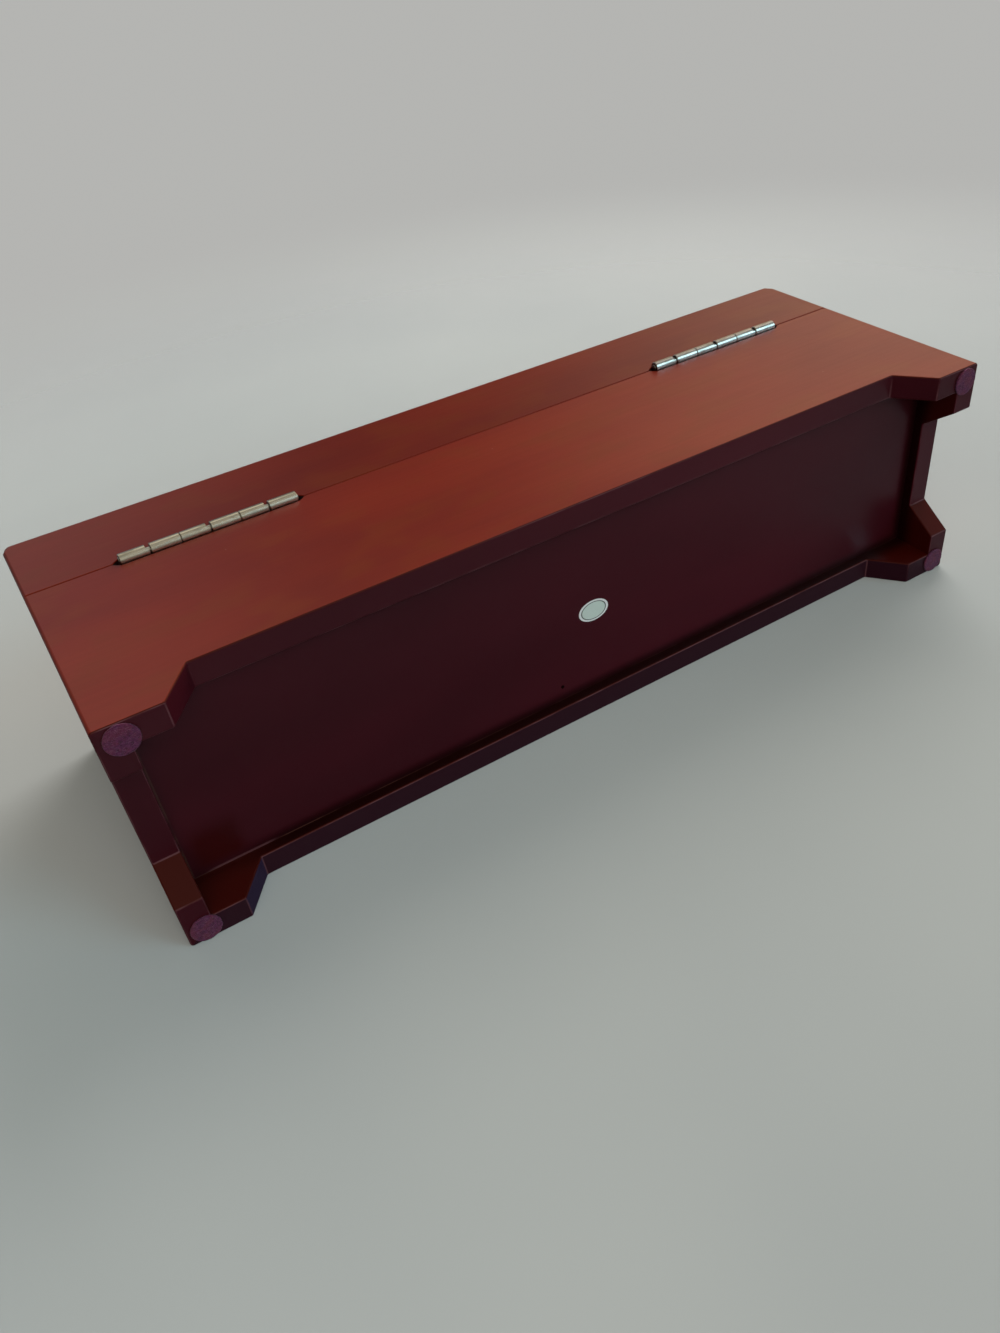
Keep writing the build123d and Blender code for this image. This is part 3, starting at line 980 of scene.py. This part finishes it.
def ground_material(name, is_table):
    """Ground that shows from its front only, and fades out into the backdrop.

    A camera above the floor sees the floor. A camera below it looks up at the underside, as in the
    photograph, and sees the table that the box's front lies on. Transparent Depth counts what clear
    ground a ray has passed: one for the floor, and two for the table with its clear backing. So it
    is odd once a ray is on the other side of the floor, which tells both kinds of camera apart.
    """
    studio = settings().studio
    material = bpy.data.materials.new(name)
    tree = empty_tree(material)
    path = add_node(tree, "ShaderNodeLightPath").outputs
    passed = path["Transparent Depth"]
    coordinates = add_node(tree, "ShaderNodeTexCoord").outputs["Object"]
    expected = 0.0
    if is_table:
        expected = maths(tree, "GREATER_THAN", split_vector(tree, coordinates)["Z"], 0.0)
    seen = maths(tree, "COMPARE", maths(tree, "MODULO", passed, 2.0), expected)
    tolerance = seen.node.inputs[2]
    tolerance.default_value = 0.5
    if is_table:
        within_two = maths(tree, "LESS_THAN", passed, 2.5)
        seen = product(tree, seen, within_two)
    behind = add_node(tree, "ShaderNodeNewGeometry").outputs["Backfacing"]
    front = maths(tree, "SUBTRACT", 1.0, behind)
    reach = vector_length(tree, coordinates)
    near = remap(tree, reach, studio.fade_start, studio.fade_end, 1.0, 0.0)
    shown = product(tree, seen, front, near)
    cloudy = noise_value(tree, coordinates, (studio.cloud,) * 3, detail=3.0)
    tone = mix_colour(tree, remap(tree, cloudy, 0.3, 0.7), studio.ground, studio.pale_ground)
    tone = mix_colour(tree, path["Is Camera Ray"], studio.bounce, tone)
    surface = add_node(tree, "ShaderNodeBsdfDiffuse", {"Color": tone, "Roughness": 0.6})
    clear = add_node(tree, "ShaderNodeBsdfTransparent")
    shaders = {0: shown, 1: clear.outputs[0], 2: surface.outputs[0]}
    mixed = add_node(tree, "ShaderNodeMixShader", shaders)
    add_node(tree, "ShaderNodeOutputMaterial", {"Surface": mixed.outputs[0]})
    return material


def clear_material():
    """Lets every ray through, and counts as one passed sheet."""
    material = bpy.data.materials.new("clear_backing")
    tree = empty_tree(material)
    clear = add_node(tree, "ShaderNodeBsdfTransparent")
    add_node(tree, "ShaderNodeOutputMaterial", {"Surface": clear.outputs[0]})
    return material


def ground_disc(name, matrix, material):
    """A wide flat disc of ground that faces along its own Z."""
    disc = bmesh.new()
    bmesh.ops.create_circle(
        disc, cap_ends=True, segments=96, radius=settings().studio.ground_radius, matrix=matrix
    )
    mesh = bpy.data.meshes.new(name)
    disc.to_mesh(mesh)
    disc.free()
    piece = bpy.data.objects.new(name, mesh)
    bpy.context.scene.collection.objects.link(piece)
    dress(piece, material)


def lay_ground():
    """The floor that the pads stand on, and the table that the front lies on in the photograph."""
    ground_disc("floor", Matrix.Identity(4), ground_material("floor_ground", is_table=False))
    facing_back = Matrix.Rotation(-math.pi / 2, 4, "X")
    table_gap = 0.05 * MM
    layers = (
        ("table", table_gap, ground_material("table_ground", is_table=True)),
        ("table_backing", 2 * table_gap, clear_material()),
    )
    for name, gap, material in layers:
        place = Matrix.Translation((0.0, cad_box[0].y - gap, 0.0))
        ground_disc(name, place @ facing_back, material)


def aim_matrix(place, target, up):
    """Matrix of a camera or lamp at a place, looking at a target, with the given direction up."""
    back = (Vector(place) - Vector(target)).normalized()
    right = Vector(up).cross(back).normalized()
    turned = Matrix((right, back.cross(right), back)).transposed().to_4x4()
    return Matrix.Translation(place) @ turned


# Towards, distance, width, height, colour and the setting of its power
LAMPS = {
    "key_lamp": ((-0.62, 0.58, 0.53), 0.85, 0.7, 0.6, (1.00, 0.98, 0.95), "key_power"),
    "fill_lamp": ((0.35, -0.85, 0.45), 1.5, 1.2, 0.9, (0.97, 0.98, 1.00), "fill_power"),
    "top_lamp": ((0.15, -0.40, 0.90), 1.5, 0.9, 0.9, (1.00, 1.00, 1.00), "top_power"),
    "room_lamp": ((0.30, 0.50, -0.80), 1.2, 1.0, 1.0, (0.95, 0.98, 1.00), "room_power"),
}


def add_lamp(name, towards, distance, width, height, colour, power):
    """An area lamp that lights the box, unseen by the camera and in the lacquer."""
    lamp = bpy.data.lights.new(name, "AREA")
    lamp.shape = "RECTANGLE"
    lamp.size = width
    lamp.size_y = height
    lamp.energy = getattr(settings().studio, power)
    lamp.color = colour
    holder = bpy.data.objects.new(name, lamp)
    box_middle = Vector((0.0, 0.0, 0.05))
    place = box_middle + Vector(towards).normalized() * distance
    holder.matrix_world = aim_matrix(place, box_middle, (0.0, 0.0, 1.0))
    holder.visible_camera = False
    holder.visible_glossy = False
    bpy.context.scene.collection.objects.link(holder)


# Towards, angle of the rim, angle of the even core, colour and strength
SKY_GLOWS = (
    ((0.10, 0.75, -0.62), 60.0, 25.0, (1.00, 0.91, 0.68), 0.42),
    ((-0.10, 0.85, 0.51), 26.0, 10.0, (1.00, 0.93, 0.70), 0.75),
    ((-0.60, 0.47, -0.65), 21.0, 9.0, (0.47, 0.82, 1.00), 3.20),
    ((-0.88, 0.30, 0.37), 40.0, 12.0, (1.00, 0.80, 0.56), 0.75),
    ((0.25, 0.45, 0.86), 32.0, 8.0, (0.75, 0.88, 1.00), 0.28),
    ((-0.62, 0.76, 0.20), 20.0, 6.0, (0.80, 0.86, 1.00), 0.60),
    ((0.20, -0.75, 0.62), 75.0, 20.0, (1.00, 1.00, 1.00), 0.35),
)


def make_world():
    """Pale backdrop for the camera, and a sky of soft glows for the light."""
    studio = settings().studio
    world = bpy.data.worlds.new("studio_sky")
    bpy.context.scene.world = world
    tree = empty_tree(world)
    direction = add_node(tree, "ShaderNodeTexCoord").outputs["Generated"]
    light = tuple(studio.dim_sky)
    for towards, rim, core, colour, strength in SKY_GLOWS:
        middle = Vector(towards).normalized()
        alike = vector_maths(tree, "DOT_PRODUCT", {0: direction, 1: middle})["Value"]
        edges = (math.cos(math.radians(angle)) for angle in (rim, core))
        share = remap(tree, alike, *edges, 0.0, strength * studio.strength)
        glow = vector_maths(tree, "SCALE", {0: colour, "Scale": share})[0]
        light = vector_maths(tree, "ADD", {0: light, 1: glow})[0]
    sky = add_node(tree, "ShaderNodeBackground", {"Color": light})
    backdrop = add_node(tree, "ShaderNodeBackground", {"Color": rgba(studio.backdrop)})
    seen = add_node(tree, "ShaderNodeLightPath").outputs["Is Camera Ray"]
    shaders = {0: seen, 1: sky.outputs[0], 2: backdrop.outputs[0]}
    mixed = add_node(tree, "ShaderNodeMixShader", shaders)
    add_node(tree, "ShaderNodeOutputWorld", {"Surface": mixed.outputs[0]})


def make_camera():
    """The camera at the photograph's viewing angle: behind the box and below it."""
    studio = settings().studio
    camera = bpy.data.cameras.new("camera")
    camera.lens = studio.lens
    camera.sensor_width = 36.0
    camera.shift_x, camera.shift_y = studio.lens_shift
    camera.clip_start = 0.01
    camera.clip_end = 50.0
    holder = bpy.data.objects.new("camera", camera)
    place = Vector(studio.camera_place)
    holder.matrix_world = aim_matrix(place, studio.camera_aim, studio.camera_up)
    bpy.context.scene.collection.objects.link(holder)
    bpy.context.scene.camera = holder


class STORAGEBOX_OT_set_studio(Operator):
    """Set the floor, the table, the sky, the lamps and the camera"""

    bl_idname = "storage_box.set_studio"
    bl_label = "Set Studio"

    def execute(self, context):
        lay_ground()
        make_world()
        for name, lamp in LAMPS.items():
            add_lamp(name, *lamp)
        make_camera()
        context.scene.view_settings.view_transform = "Standard"
        return {"FINISHED"}


class STORAGEBOX_PT_sidebar(Panel):
    """Lists the steps that finish the storage box"""

    bl_idname = "STORAGEBOX_PT_sidebar"
    bl_label = "Storage Box"
    bl_space_type = "VIEW_3D"
    bl_region_type = "UI"
    bl_category = "Storage Box"

    def draw(self, context):
        for step in STEPS:
            self.layout.operator(step.bl_idname)


STEPS = (
    STORAGEBOX_OT_finish_case_boards,
    STORAGEBOX_OT_finish_lid_boards,
    STORAGEBOX_OT_finish_hinges,
    STORAGEBOX_OT_lay_felt_pads,
    STORAGEBOX_OT_print_label,
    STORAGEBOX_OT_set_studio,
)
CLASSES = (
    LacquerSettings,
    MetalSettings,
    FeltSettings,
    LabelSettings,
    StudioSettings,
    StorageBoxSettings,
    *STEPS,
    STORAGEBOX_PT_sidebar,
)


def register():
    for cls in CLASSES:
        bpy.utils.register_class(cls)
    bpy.types.Scene.storage_box = PointerProperty(type=StorageBoxSettings)


def unregister():
    del bpy.types.Scene.storage_box
    for cls in reversed(CLASSES):
        bpy.utils.unregister_class(cls)


def main():
    register()
    bpy.ops.storage_box.finish_case_boards()
    bpy.ops.storage_box.finish_lid_boards()
    bpy.ops.storage_box.finish_hinges()
    bpy.ops.storage_box.lay_felt_pads()
    bpy.ops.storage_box.print_label()
    bpy.ops.storage_box.set_studio()


if __name__ == "__main__":
    main()
